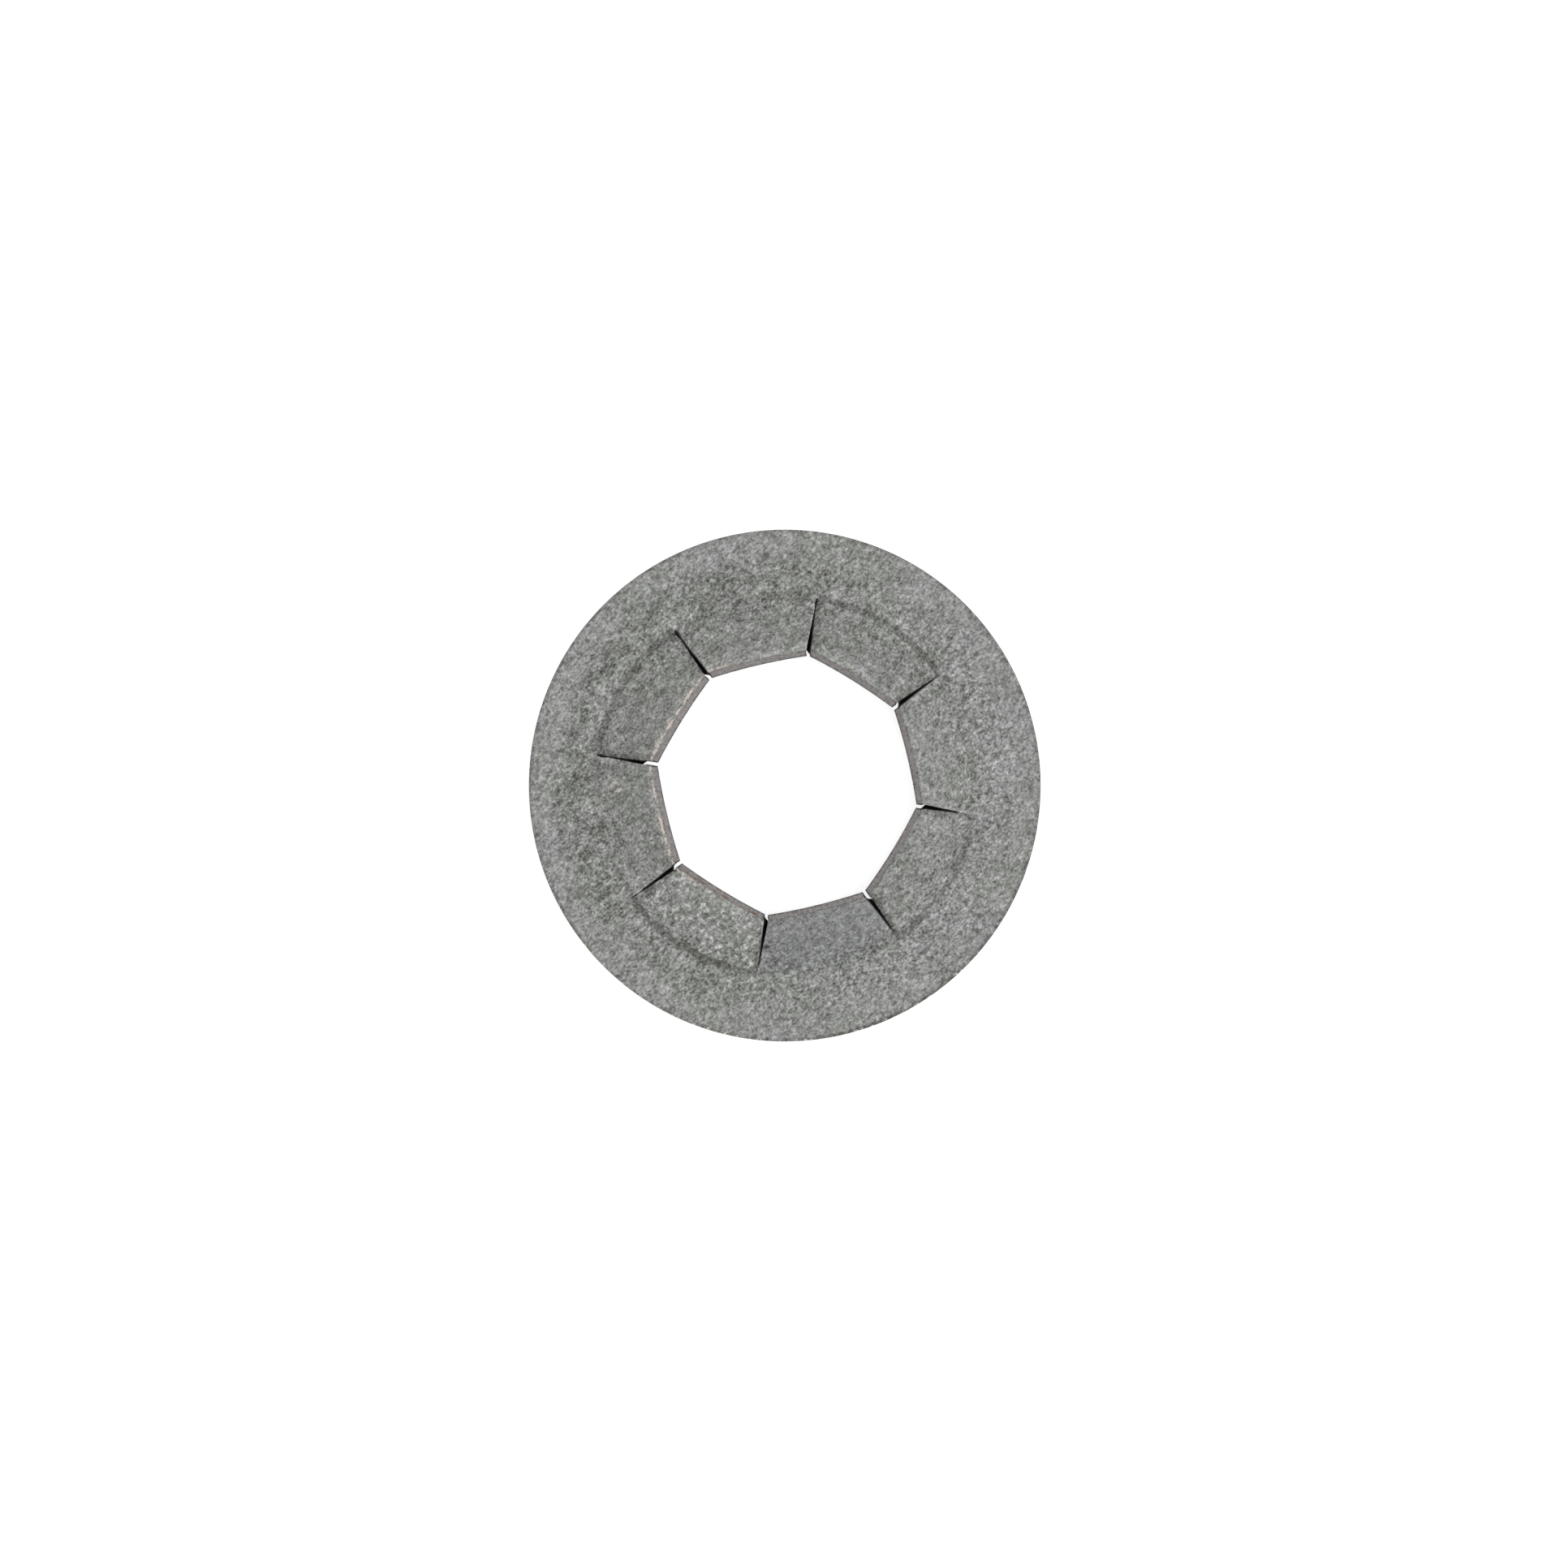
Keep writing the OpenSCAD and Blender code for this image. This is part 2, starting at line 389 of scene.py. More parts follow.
class RingForm:
    """The ring's surfaces, collected as patches."""

    # Rows and columns of the grids
    TAB_COLUMNS = 54
    SLIT_COLUMNS = 4
    BEND_ROWS = 8
    SLOPE_ROWS = 30
    LAYERS = 7
    RIM_ROWS = 26
    ROLL_ROWS = 7
    WALL_ROWS = 5
    UNDER_ROWS = 10
    # Rows within a rolled edge, as shares of its width, and where the even rows start, in widths of it
    EDGE_ROWS = (0, 0.13, 0.45, 1.0)
    EVEN_FROM = 2.2
    # The roll sets in over these values of bend + ROLL_CLIMB x slope
    ROLL_SETS_IN = (0.2, 1.6)
    ROLL_CLIMB = 4
    # How hard soft and crisp folds are pressed, how much they gain towards the pressed side and lose away
    # from it, and how much the crisp ones lose on both of those sides
    SOFT_CREASE = 0.44
    CRISP_CREASE = 1.22
    TOWARD_GAIN = 0.10
    IN_LINE_LOSS = 0.26
    # Distance up from the fold over which a tab takes on its own coarse or smooth coating
    TEXTURE_SETS_IN = millimetres(0.05, 0.3)

    def __init__(self, sizes, finish):
        self.sizes = sizes
        self.finish = finish
        self.fold_r = sizes.fold_d / 2
        self.outer_r = sizes.outer_d / 2
        self.straight = (self.fold_r - sizes.tip_circle_d / 2) / math.cos(sizes.tab_angle)
        self.patches = Patches()
        half_width = self.fold_r * math.pi / sizes.tab_count
        self.across = self.across_places(sizes.cut_roll_r / half_width)
        bend = np.linspace(0, 1, self.BEND_ROWS + 1)
        slope = self.slope_places(sizes.cut_roll_r / self.straight)[1:]
        self.bend = np.concatenate([bend, np.ones(len(slope))])[:, None]
        self.slope = np.concatenate([np.zeros(len(bend)), slope])[:, None]
        self.layers = np.linspace(0, 1, self.LAYERS)[:, None]

    def across_places(self, edge):
        """Places from -1 to 1 across a tab: even in the middle and closer within the rolled edges."""
        close = edge * np.array(self.EDGE_ROWS)
        last = 1 - self.EVEN_FROM * edge
        even = np.linspace(-last, last, self.TAB_COLUMNS)
        return np.concatenate([close - 1, even, 1 - close[::-1]])

    def slope_places(self, edge):
        """Places from 0 to 1 up the straight part: even at first and closer within the rolled edge."""
        close = edge * np.array(self.EDGE_ROWS)
        even = np.linspace(0, 1 - self.EVEN_FROM * edge, self.SLOPE_ROWS)
        return np.concatenate([even, 1 - close[::-1]])

    def crease(self, number):
        """How hard the fold of a tab is pressed.

        It is a constant plus a share of the cosine of the angle from the pressed side. On crisp bends a
        share of its square comes off, so that those square to the pressed side are pressed hardest.
        """
        toward = math.cos((number + 0.5) * 2 * math.pi / self.sizes.tab_count - self.finish.pressed_side)
        if is_soft(number):
            return self.SOFT_CREASE + self.TOWARD_GAIN * toward
        return self.CRISP_CREASE + self.TOWARD_GAIN * toward - self.IN_LINE_LOSS * toward ** 2

    def upper_layer(self, tab, across, bend, slope):
        """Layer of the upper face: 1, less the rolls of flank and tip and the groove in the bend."""
        sizes = self.sizes
        cut_roll = (sizes.cut_roll_r, sizes.cut_roll_r)
        flank_roll = cut_roll if is_soft(tab.number) else (sizes.flank_roll_w, sizes.flank_roll_h)
        flank, tip = self.edge_gaps(tab, across, slope)
        drop = np.maximum(rolled_drop(flank, *flank_roll), rolled_drop(tip, *cut_roll))
        drop = drop * smooth(bend + self.ROLL_CLIMB * slope, *self.ROLL_SETS_IN)
        groove = sizes.crease_depth * self.crease(tab.number) * np.sin(math.pi * bend) ** 2
        return 1 - (drop + groove) / sizes.sheet_t

    def edge_gaps(self, tab, across, slope):
        """Distances of a point on a tab from its nearer flank and from its tip."""
        flank = (1 - np.abs(across)) * (self.fold_r - tab.reach * slope) * tab.pitch / 2
        return flank, (1 - slope) * tab.straight + 0 * across

    def add_tab(self, number):
        """Upper face, underside, tip and both flanks of one tab."""
        tab = Tab(self.sizes, number)
        upper = self.upper_layer(tab, self.across, self.bend, self.slope)
        self.add_face(tab, self.across, self.bend, self.slope, upper, 1, False)
        self.add_face(tab, self.across, self.bend, self.slope, 0 * upper, 0, True)
        wall = self.layers * upper[-1]
        self.add_face(tab, self.across, self.bend[-1], self.slope[-1], wall, self.layers, True)
        for side, column in ((-1, 0), (1, -1)):
            wall = self.layers * upper[:, column]
            self.add_face(tab, side, self.bend[:, 0], self.slope[:, 0], wall, self.layers, side < 0)

    def add_face(self, tab, across, bend, slope, layer, wall_share, flip):
        """One face of a tab's block, with what the finish reads there.

        The layer places the points, and wall_share is what the finish reads as the layer: the share of the
        wall under a point, which is 1 on the whole upper face.
        """
        points, climb = tab.place(across, bend, slope, layer)
        flank, tip = self.edge_gaps(tab, across, slope)
        along = bend * tab.angle * (tab.bend_r + self.sizes.sheet_t * (1 - layer)) + climb
        around = self.fold_r * (tab.centre + across * tab.pitch / 2)
        texture = (tab.number == self.finish.coarse_tab) - (tab.number == self.finish.smooth_tab)
        coarse = smooth(along, *self.TEXTURE_SETS_IN) * texture
        self.patches.add(points, flip, along=along, around=around, layer=wall_share, tip=tip, flank=flank,
                         crease=self.crease(tab.number), coarse=coarse)

    def rim_profile(self):
        """Upright section of the rim, as radius, height and layer.

        It runs out along the top, round a quarter circle, down the wall and back underneath.
        """
        sheet_t, roll_r = self.sizes.sheet_t, self.sizes.edge_roll_r
        roll_start, wall_top = self.outer_r - roll_r, sheet_t - roll_r
        turn = np.linspace(0, math.pi / 2, self.ROLL_ROWS + 1)
        radius = np.concatenate([
            np.linspace(self.fold_r, roll_start, self.RIM_ROWS)[:-1],
            roll_start + roll_r * np.sin(turn),
            np.full(self.WALL_ROWS, self.outer_r),
            np.linspace(self.outer_r, self.fold_r, self.UNDER_ROWS + 1)[1:],
        ])
        height = np.concatenate([
            np.full(self.RIM_ROWS - 1, sheet_t),
            wall_top + roll_r * np.cos(turn),
            np.linspace(wall_top, 0, self.WALL_ROWS + 1)[1:],
            np.zeros(self.UNDER_ROWS),
        ])
        return radius[:, None], height[:, None], height[:, None] / sheet_t

    def slit_end(self, tab, layer):
        """Angles across the end of the slit after a tab, from flank to flank, for each layer."""
        width = 2 * np.arcsin(tab.slit_width(0.0, layer, 1) / 2 / self.fold_r)
        return tab.centre + tab.azimuth(1, 0.0, layer) + width * np.linspace(0, 1, self.SLIT_COLUMNS)

    def add_slit_wall(self, tab):
        """The short upright wall that ends the slit after a tab."""
        wall = round_axis(self.fold_r, self.layers * self.sizes.sheet_t, self.slit_end(tab, self.layers))
        self.patches.add(wall, True, along=0, around=0, layer=self.layers, tip=self.straight, flank=0,
                         crease=0, coarse=0)

    def add_rim(self):
        """The rim's profile carried round the axis, and the wall that ends each slit.

        The columns go on from those of each tab, and across the end of each slit.
        """
        radius, height, layer = self.rim_profile()
        between = self.SLIT_COLUMNS - 2
        turns, gaps, creases = [], [], []
        for number in range(self.sizes.tab_count):
            tab = Tab(self.sizes, number)
            self.add_slit_wall(tab)
            turns.append(tab.centre + tab.azimuth(self.across, 0.0, layer))
            turns.append(self.slit_end(tab, layer)[:, 1:-1])
            gaps.append((1 - np.abs(self.across)) * self.fold_r * tab.pitch / 2)
            gaps.append(np.zeros(between))
            creases.append(np.full(len(self.across) + between, self.crease(number)))
        azimuth = np.concatenate(turns + [turns[0][:, :1] + 2 * math.pi], axis=1)
        self.patches.add(round_axis(radius, height, azimuth), True,
                         along=self.fold_r - radius, around=self.fold_r * azimuth, layer=layer,
                         tip=self.straight, flank=np.concatenate(gaps + [gaps[0][:1]]),
                         crease=np.concatenate(creases + [creases[0][:1]]), coarse=0)


class Wire:
    """A socket in a shader expression: operators add Math nodes, and node() adds any other node."""

    def __init__(self, tree, socket=None):
        self.tree = tree
        self.socket = socket

    def node(self, kind, settings=None, sockets=None, output=0):
        """A node of some kind: its settings first, then the values or links of its sockets."""
        made = self.tree.nodes.new(kind)
        for name, value in (settings or {}).items():
            setattr(made, name, value)
        for name, value in (sockets or {}).items():
            if isinstance(value, Wire):
                self.tree.links.new(value.socket, made.inputs[name])
            else:
                made.inputs[name].default_value = value
        return Wire(self.tree, made.outputs[output] if made.outputs else None)

    def math(self, operation, first, second):
        """A Math node on two values."""
        return self.node("ShaderNodeMath", {"operation": operation}, {0: first, 1: second})

    def __add__(self, other):
        return self.math("ADD", self, other)

    def __sub__(self, other):
        return self.math("SUBTRACT", self, other)

    def __rsub__(self, other):
        return self.math("SUBTRACT", other, self)

    def __mul__(self, other):
        return self.math("MULTIPLY", self, other)

    __radd__ = __add__
    __rmul__ = __mul__

    def larger(self, other):
        """The larger of two values."""
        return self.math("MAXIMUM", self, other)

    def ramp(self, start, full):
        """0 before start and 1 past full, smooth between; start may be the larger of the two."""
        sockets = {"Value": self, "From Min": start, "From Max": full}
        return self.node("ShaderNodeMapRange", {"interpolation_type": "SMOOTHSTEP"}, sockets)

    def band(self, start, full, last, end):
        """1 from full to last, falling to 0 at start and at end."""
        return self.ramp(start, full) * self.ramp(end, last)

    def mixed(self, first, second):
        """A colour between two, with this value as the share of the second."""
        return self.node("ShaderNodeMix", {"data_type": "RGBA"}, {0: self, 6: first, 7: second}, 2)

    def vector(self, operation, first, second, output="Vector"):
        """A Vector Math node on two vectors."""
        return self.node("ShaderNodeVectorMath", {"operation": operation}, {0: first, 1: second}, output)


def weighted(start, values, weights):
    """A start value plus the named values, each times its weight."""
    total = start
    for name, weight in weights.items():
        total = total + weight * values[name]
    return total


def rgba(value):
    """A colour with full opacity."""
    return (*value, 1.0)


def node_graph(owner):
    """The node tree of a material or world, emptied for new nodes."""
    owner.use_nodes = True
    owner.node_tree.nodes.clear()
    return Wire(owner.node_tree)


class Surface:
    """What the finish reads at a point: the mesh's values, the grains and the side of the ring."""

    # Scale of each grain, as a share of the finest one's, and its roughness
    GRAINS = {"fine": (1.0, 0.6), "specks": (0.45, 0.6), "mottle": (0.2, 0.5), "patches": (0.035, 0.5)}
    # Steps of ever finer detail in the noise, and how far rolling has drawn the grains out
    DETAIL = 2.0
    ROLLED_STRETCH = 1.25
    # Rises by the layer in the strip, and towards the side where the outer edge is darkest
    UPPER_SIDE = (0.4, 0.6)
    DARK_EDGE_SIDE = (0.8, 1.0)
    # Share of a spot's radius inside which it is full
    SPOT_CORE = 0.4

    def __init__(self, graph, finish):
        self.graph = graph
        place = graph.node("ShaderNodeTexCoord", output="Object")
        self.flat = graph.vector("MULTIPLY", place, (1, 1, 0))
        self.outward = graph.node("ShaderNodeVectorMath", {"operation": "NORMALIZE"}, {0: self.flat})
        self.values = {name: self.mesh_value(name) for name in Patches.VALUES}
        self.upper = self.values["layer"].ramp(*self.UPPER_SIDE)
        self.dark_side = self.side(finish.dark_edge_side, *self.DARK_EDGE_SIDE)
        rolled = graph.node("ShaderNodeMapping", {"vector_type": "TEXTURE"}, {
            "Vector": place,
            "Rotation": (0, 0, finish.strip_turn),
            "Scale": (self.ROLLED_STRETCH, 1, 1),
        })
        self.grains = {name: self.noise(rolled, scale / finish.grain_size, roughness)
                       for name, (scale, roughness) in self.GRAINS.items()}
        self.swings = {name: grain - 0.5 for name, grain in self.grains.items()}

    def mesh_value(self, name):
        """A value that the mesh carries."""
        return self.graph.node("ShaderNodeAttribute", {"attribute_name": name}, output="Fac")

    def noise(self, place, scale, roughness):
        """Random variation about one half, over places in the piece's own coordinates."""
        sockets = {"Vector": place, "Scale": scale, "Detail": self.DETAIL, "Roughness": roughness}
        return self.graph.node("ShaderNodeTexNoise", {"noise_dimensions": "3D"}, sockets)

    def streaks(self, size):
        """Random variation about one half round the ring, the same from the top of a face to its foot."""
        sockets = {"W": self.values["around"], "Scale": 1 / size, "Detail": self.DETAIL}
        return self.graph.node("ShaderNodeTexNoise", {"noise_dimensions": "1D"}, sockets)

    def side(self, azimuth, start, full):
        """1 on one side of the axis and 0 away from it.

        It rises from start to full by the cosine of the angle from that side, as 0 opposite to 1 there.
        """
        toward = (math.cos(azimuth), math.sin(azimuth), 0)
        cosine = self.graph.vector("DOT_PRODUCT", self.outward, toward, "Value")
        return (0.5 + 0.5 * cosine).ramp(start, full)

    def spot(self, radius, azimuth, size):
        """1 at one place on the upper side, falling to 0 at a distance of its size."""
        centre = (radius * math.cos(azimuth), radius * math.sin(azimuth), 0)
        gap = self.graph.vector("DISTANCE", self.flat, centre, "Value")
        return gap.ramp(size, self.SPOT_CORE * size) * self.upper


class Coating:
    """The phosphate coating: pale crystals over dark pits, in zones that change its tone, spread and tint.

    Tone is 1 on the palest crystals, and its square is the share of the pale colour.
    """

    # Zones by the distance up from the fold, as start, full, last and end
    PRESSED_ZONE = millimetres(-1.2, -0.65, -0.5, 0.3)
    NEAR_ZONE = millimetres(-1.4, -0.4, 0.1, 1.0)
    RIDGE_ZONE = millimetres(-0.55, -0.3, -0.22, -0.1)
    LINE_ZONE = millimetres(-0.11, -0.05, 0.06, 0.11)
    # How far up the dark line of a soft crease lies from that of a crisp one
    SOFT_LINE_RISE = 0.045 * MM
    # Rises by the distance up from the fold, then by that from the flank and from the tip
    OUTER_EDGE = millimetres(-1.52, -1.58)
    TAB_FOOT = millimetres(0.0, 0.12)
    ROLLED_FLANK = millimetres(0.2, 0.0)
    RUBBED_TIP = millimetres(0.32, 0.12)
    COARSE_TIP = millimetres(0.6, 0.2)
    # Rises towards a side of the ring
    PRESSED_SIDE = (0.2, 0.65)
    PALE_TIP_SIDE = (0.4, 0.75)
    LIT_TAB_SIDE = (0.85, 1.0)
    # Rises by the press of the fold, by the specks and by how grey the tint is
    CRISP_FOLD = (0.6, 0.8)
    CRYSTAL_SPECKS = (0.48, 0.78)
    GREY_TINT = (0.2, 0.8)
    # The crease's dark line, part painted shade, part pressed mark: its even share and the share that
    # follows the specks
    LINE_EVEN = 0.76
    LINE_SPECKS = 0.3
    # Tone of the plain coating, and what each zone adds to it
    PLAIN_TONE = 0.615
    # Of these, edge, dark_edge, rolled and speck are painted shade, line is partly painted shade, pale is
    # painted light
    TONES = {
        "pressed": -0.065, "ridge": 0.045, "line": -0.125, "near": -0.012,
        "edge": -0.065, "dark_edge": -0.09,
        "tab": -0.045, "flank": 0.035, "rolled": -0.17, "rubbed": 0.065, "pale": 0.03,
        "coarse": 0.02, "crystals": 0.22, "coarse_tip": 0.05, "even": -0.014, "speck": -0.32,
    }
    # How much each grain sways the tone, how much more the mottle does where the fold is pressed,
    # and the spread of all three with what each zone adds to it
    GRAINS = {"fine": 0.77, "specks": 0.54, "mottle": 0.26}
    PRESSED_MOTTLE = 0.1
    PLAIN_SPREAD = 1.08
    SPREADS = {"near": 0.3, "line": -0.25, "even": -0.2}
    # How grey the plain tint is, between olive and grey, and what the grains and zones add to it
    PLAIN_GREY = 0.5
    GREY_GRAINS = {"patches": 2.0, "mottle": 1.6}
    GREYS = {"pressed": -0.5, "line": -0.5, "tab": -0.25, "flank": 0.07, "rolled": -0.34}

    def __init__(self, surface, finish):
        self.surface = surface
        self.finish = finish
        self.crease = surface.values["crease"] * surface.upper
        self.crisp = self.crease.ramp(*self.CRISP_FOLD)
        self.zones = {**self.fold_zones(), **self.edge_zones(), **self.tab_zones()}

    def fold_zones(self):
        """Zones along the fold: its pressed side, the ridge there, the crease's dark line, partly painted
        shade, all near.
        """
        surface, along = self.surface, self.surface.values["along"]
        pressed_side = surface.side(self.finish.pressed_side, *self.PRESSED_SIDE) * surface.upper
        from_line = along - self.SOFT_LINE_RISE * (1 - self.crisp)
        line_share = self.LINE_EVEN + self.LINE_SPECKS * surface.grains["specks"]
        return {
            "pressed": along.band(*self.PRESSED_ZONE) * pressed_side,
            "ridge": along.band(*self.RIDGE_ZONE) * self.crisp * pressed_side,
            "line": from_line.band(*self.LINE_ZONE) * self.crease * line_share,
            "near": along.band(*self.NEAR_ZONE),
        }

    def edge_zones(self):
        """Painted shade along the rolled outer edge, all round and deeper on its darkest side."""
        edge = self.surface.values["along"].ramp(*self.OUTER_EDGE)
        return {"edge": edge, "dark_edge": edge * self.surface.dark_side}

    def tab_zones(self):
        """Zones on the tabs: their flanks and tips, the coarse and the smooth tab, and the dark speck."""
        surface, finish = self.surface, self.finish
        values, upper = surface.values, surface.upper
        tab = values["along"].ramp(*self.TAB_FOOT)
        flank = values["flank"].ramp(*self.ROLLED_FLANK) * tab
        coarse = values["coarse"].larger(0.0) * upper
        pale_tip_side = surface.side(finish.pale_tip_side, *self.PALE_TIP_SIDE)
        return {
            "tab": tab,
            "flank": flank,
            # painted shade along the rolled flanks of the crisp tabs
            "rolled": flank * self.crisp,
            "rubbed": pale_tip_side * values["tip"].ramp(*self.RUBBED_TIP) * upper,
            # painted light: tabs paler on the side that faces the key lamp
            "pale": surface.side(finish.lit_tab_side, *self.LIT_TAB_SIDE) * tab,
            "coarse": coarse,
            "crystals": coarse * surface.grains["specks"].ramp(*self.CRYSTAL_SPECKS),
            "coarse_tip": coarse * values["tip"].ramp(*self.COARSE_TIP),
            "even": (0.0 - values["coarse"]).larger(0.0) * upper,
            # painted shade of a small pit
            "speck": surface.spot(finish.dark_speck_r, finish.dark_speck_turn, finish.dark_speck_size),
        }

    def tone(self):
        """Tone of the coating: the plain tone, the zones and the grain times its spread."""
        swings = self.surface.swings
        pressed_mottle = self.PRESSED_MOTTLE * self.zones["pressed"] * swings["mottle"]
        grain = weighted(pressed_mottle, swings, self.GRAINS)
        spread = weighted(self.PLAIN_SPREAD, self.zones, self.SPREADS)
        return weighted(self.PLAIN_TONE, self.zones, self.TONES) + grain * spread

    def tint(self):
        """Tint of the coating: from olive to grey, and cool on the smoothest tab."""
        finish = self.finish
        plain = weighted(self.PLAIN_GREY, self.surface.swings, self.GREY_GRAINS)
        grey = weighted(plain, self.zones, self.GREYS).ramp(*self.GREY_TINT)
        tint = grey.mixed(rgba(finish.olive_tint), rgba(finish.grey_tint))
        return self.zones["even"].mixed(tint, rgba(finish.cool_tint))

    def colour(self):
        """The coating's colour by its tone, times its tint."""
        tone = self.tone()
        grey = (tone * tone).mixed(rgba(self.finish.dark_grain), rgba(self.finish.pale_grain))
        settings = {"data_type": "RGBA", "blend_type": "MULTIPLY"}
        return self.surface.graph.node("ShaderNodeMix", settings, {0: 1.0, 6: grey, 7: self.tint()}, 2)


class CutFaces:
    """The sheared faces: streaked, pale where the punch rubbed above, dark where the steel tore below, and
    painted shade in the slits.
    """

    # Rises by the layer in the strip
    BURNISHED = (0.05, 0.4)
    CORNER = (0.80, 0.90)
    RUSTY = (0.3, 0.7)
    # Rises by the distance from the flank, then by that up from the fold
    SLIT_WALL = millimetres(0.03, 0.005)
    SLIT_FOOT = millimetres(-0.02, 0.0)
    PALE_FOOT = millimetres(1.1, 0.25)
    OUTER_EDGE = millimetres(-1.50, -1.58)
    # Rise by the grains that make the patches of rust
    RUST_PATCHES = (0.48, 0.6)
    # How much the painted shade on the walls of a slit lessens towards the fold
    FOOT_PALING = 0.8
    # Tone of a torn face, and what each zone and grain adds to it
    TORN_TONE = 0.39
    # The corner zones are painted shade in the rolled upper corner, deeper on the dark side of the outer
    # edge
    TONES = {"burnished": 0.26, "dirty_corner": -0.4, "dark_corner": -0.35}
    GRAINS = {"fine": 1.1, "specks": 0.7}
    STREAKS = 0.4
    # Share of rust on a plain tab, what the coarse tab adds to it, and the mix of grains in its patches
    PLAIN_RUST = 0.25
    COARSE_RUST = 0.75
    RUST_MIX = {"mottle": 0.5, "specks": 0.5}

    def __init__(self, surface, finish):
        self.surface = surface
        self.finish = finish

    def slit(self):
        """Painted shade on the walls of the slits, where hardly any light gets in: 1 there, and less towards
        the fold.
        """
        values = self.surface.values
        wall = values["flank"].ramp(*self.SLIT_WALL) * values["along"].ramp(*self.SLIT_FOOT)
        return wall * (1 - self.FOOT_PALING * values["along"].ramp(*self.PALE_FOOT))

    def tone(self):
        """Tone of a cut face by its height, with painted shade in its rolled upper corner, streaks and
        grain.
        """
        surface, layer = self.surface, self.surface.values["layer"]
        corner = layer.ramp(*self.CORNER)
        outer_edge = surface.values["along"].ramp(*self.OUTER_EDGE)
        zones = {
            "burnished": layer.ramp(*self.BURNISHED),
            "dirty_corner": corner * surface.grains["mottle"],
            "dark_corner": corner * outer_edge * surface.dark_side,
        }
        streaked = self.TORN_TONE + self.STREAKS * (surface.streaks(self.finish.streak_size) - 0.5)
        return weighted(weighted(streaked, zones, self.TONES), surface.swings, self.GRAINS)

    def rust(self):
        """Share of faint rust: patches high on the cut faces, most on the coarse tab, none on the smooth."""
        values, grains = self.surface.values, self.surface.grains
        amount = self.PLAIN_RUST + self.COARSE_RUST * values["coarse"]
        patches = weighted(0.0, grains, self.RUST_MIX).ramp(*self.RUST_PATCHES)
        return values["layer"].ramp(*self.RUSTY) * amount * patches

    def colour(self):
        """The colour of a cut face by its tone, with its rust, both lost in the painted shade of the slits.
        """
        finish = self.finish
        lit = 1 - self.slit()
        cut = (self.tone() * lit).mixed(rgba(finish.torn_dark_and_slit_shade), rgba(finish.cut_pale))
        return (self.rust() * lit).mixed(cut, rgba(finish.rust))


class Wear:
    """Where the coating has worn through: along the worn tips, at one spot and in chips at the edge."""

    # Zones by the distance from the tip, as start, full, last and end
    TIP_LINE = millimetres(0.008, 0.022, 0.06, 0.1)
    TIP_BAND = millimetres(0.02, 0.06, 0.08, 0.26)
    # Rises by the layer in the strip, then by the distance up from the fold
    TIP_CORNER = (0.85, 0.95)
    EDGE_CORNER = (0.7, 0.85)
    OUTER_EDGE = millimetres(-1.55, -1.60)
    # Rises towards a side of the ring
    WORN_SIDE = (0.6, 0.92)
    CHIPPED_SIDE = (0.5, 0.9)
    # Rises by the streaks and the grains, which break the wear up
    LINE_RUNS = (0.40, 0.48)
    LINE_GRAIN = (0.38, 0.54)
    BAND_GRAIN = (0.5, 0.66)
    SPOT_SPECKS = (0.48, 0.58)
    CHIP_GRAIN = (0.57, 0.62)
    # Length of a run of wear, in streaks
    RUN_STREAKS = 5
    # Mix of grains that breaks up the line along a tip, and of those that make chips
    LINE_MIX = {"mottle": 0.6, "fine": 0.4}
    CHIP_MIX = {"fine": 0.5, "specks": 0.5}
    # How bare the steel is in each kind of wear
    LINE_BARE = 0.8
    BAND_BARE = 0.4
    SPOT_BARE = 0.6
    CHIP_BARE = 0.9

    def __init__(self, surface, finish):
        self.surface = surface
        self.finish = finish

    def worn_tips(self):
        """A broken line along the tips on the worn side, and a faint band behind it."""
        surface, finish = self.surface, self.finish
        tip, grains = surface.values["tip"], surface.grains
        runs = surface.streaks(self.RUN_STREAKS * finish.streak_size).ramp(*self.LINE_RUNS)
        broken = runs * weighted(0.0, grains, self.LINE_MIX).ramp(*self.LINE_GRAIN)
        line = self.LINE_BARE * tip.band(*self.TIP_LINE) * broken
        band = self.BAND_BARE * tip.band(*self.TIP_BAND) * grains["fine"].ramp(*self.BAND_GRAIN)
        corner = surface.values["layer"].ramp(*self.TIP_CORNER)
        return (line + band) * corner * surface.side(finish.worn_side, *self.WORN_SIDE)

    def worn_spot(self):
        """Specks of bare steel at one spot on a tab."""
        finish = self.finish
        spot = self.surface.spot(finish.worn_spot_r, finish.worn_spot_turn, finish.worn_spot_size)
        return self.SPOT_BARE * spot * self.surface.grains["specks"].ramp(*self.SPOT_SPECKS)

    def chips(self):
        """Chips along the upper corner of the outer edge, on the chipped side."""
        surface, values = self.surface, self.surface.values
        edge = values["along"].ramp(*self.OUTER_EDGE) * values["layer"].ramp(*self.EDGE_CORNER)
        chipped = weighted(0.0, surface.grains, self.CHIP_MIX).ramp(*self.CHIP_GRAIN)
        side = surface.side(self.finish.chipped_side, *self.CHIPPED_SIDE)
        return self.CHIP_BARE * edge * chipped * side

    def bare_share(self):
        """How bare the steel is, by the strongest kind of wear."""
        return self.worn_tips().larger(self.worn_spot()).larger(self.chips())


# Layers between which a face counts as sheared, as start, full, last and end
SHEARED_LAYERS = (0.01, 0.05, 0.90, 0.97)


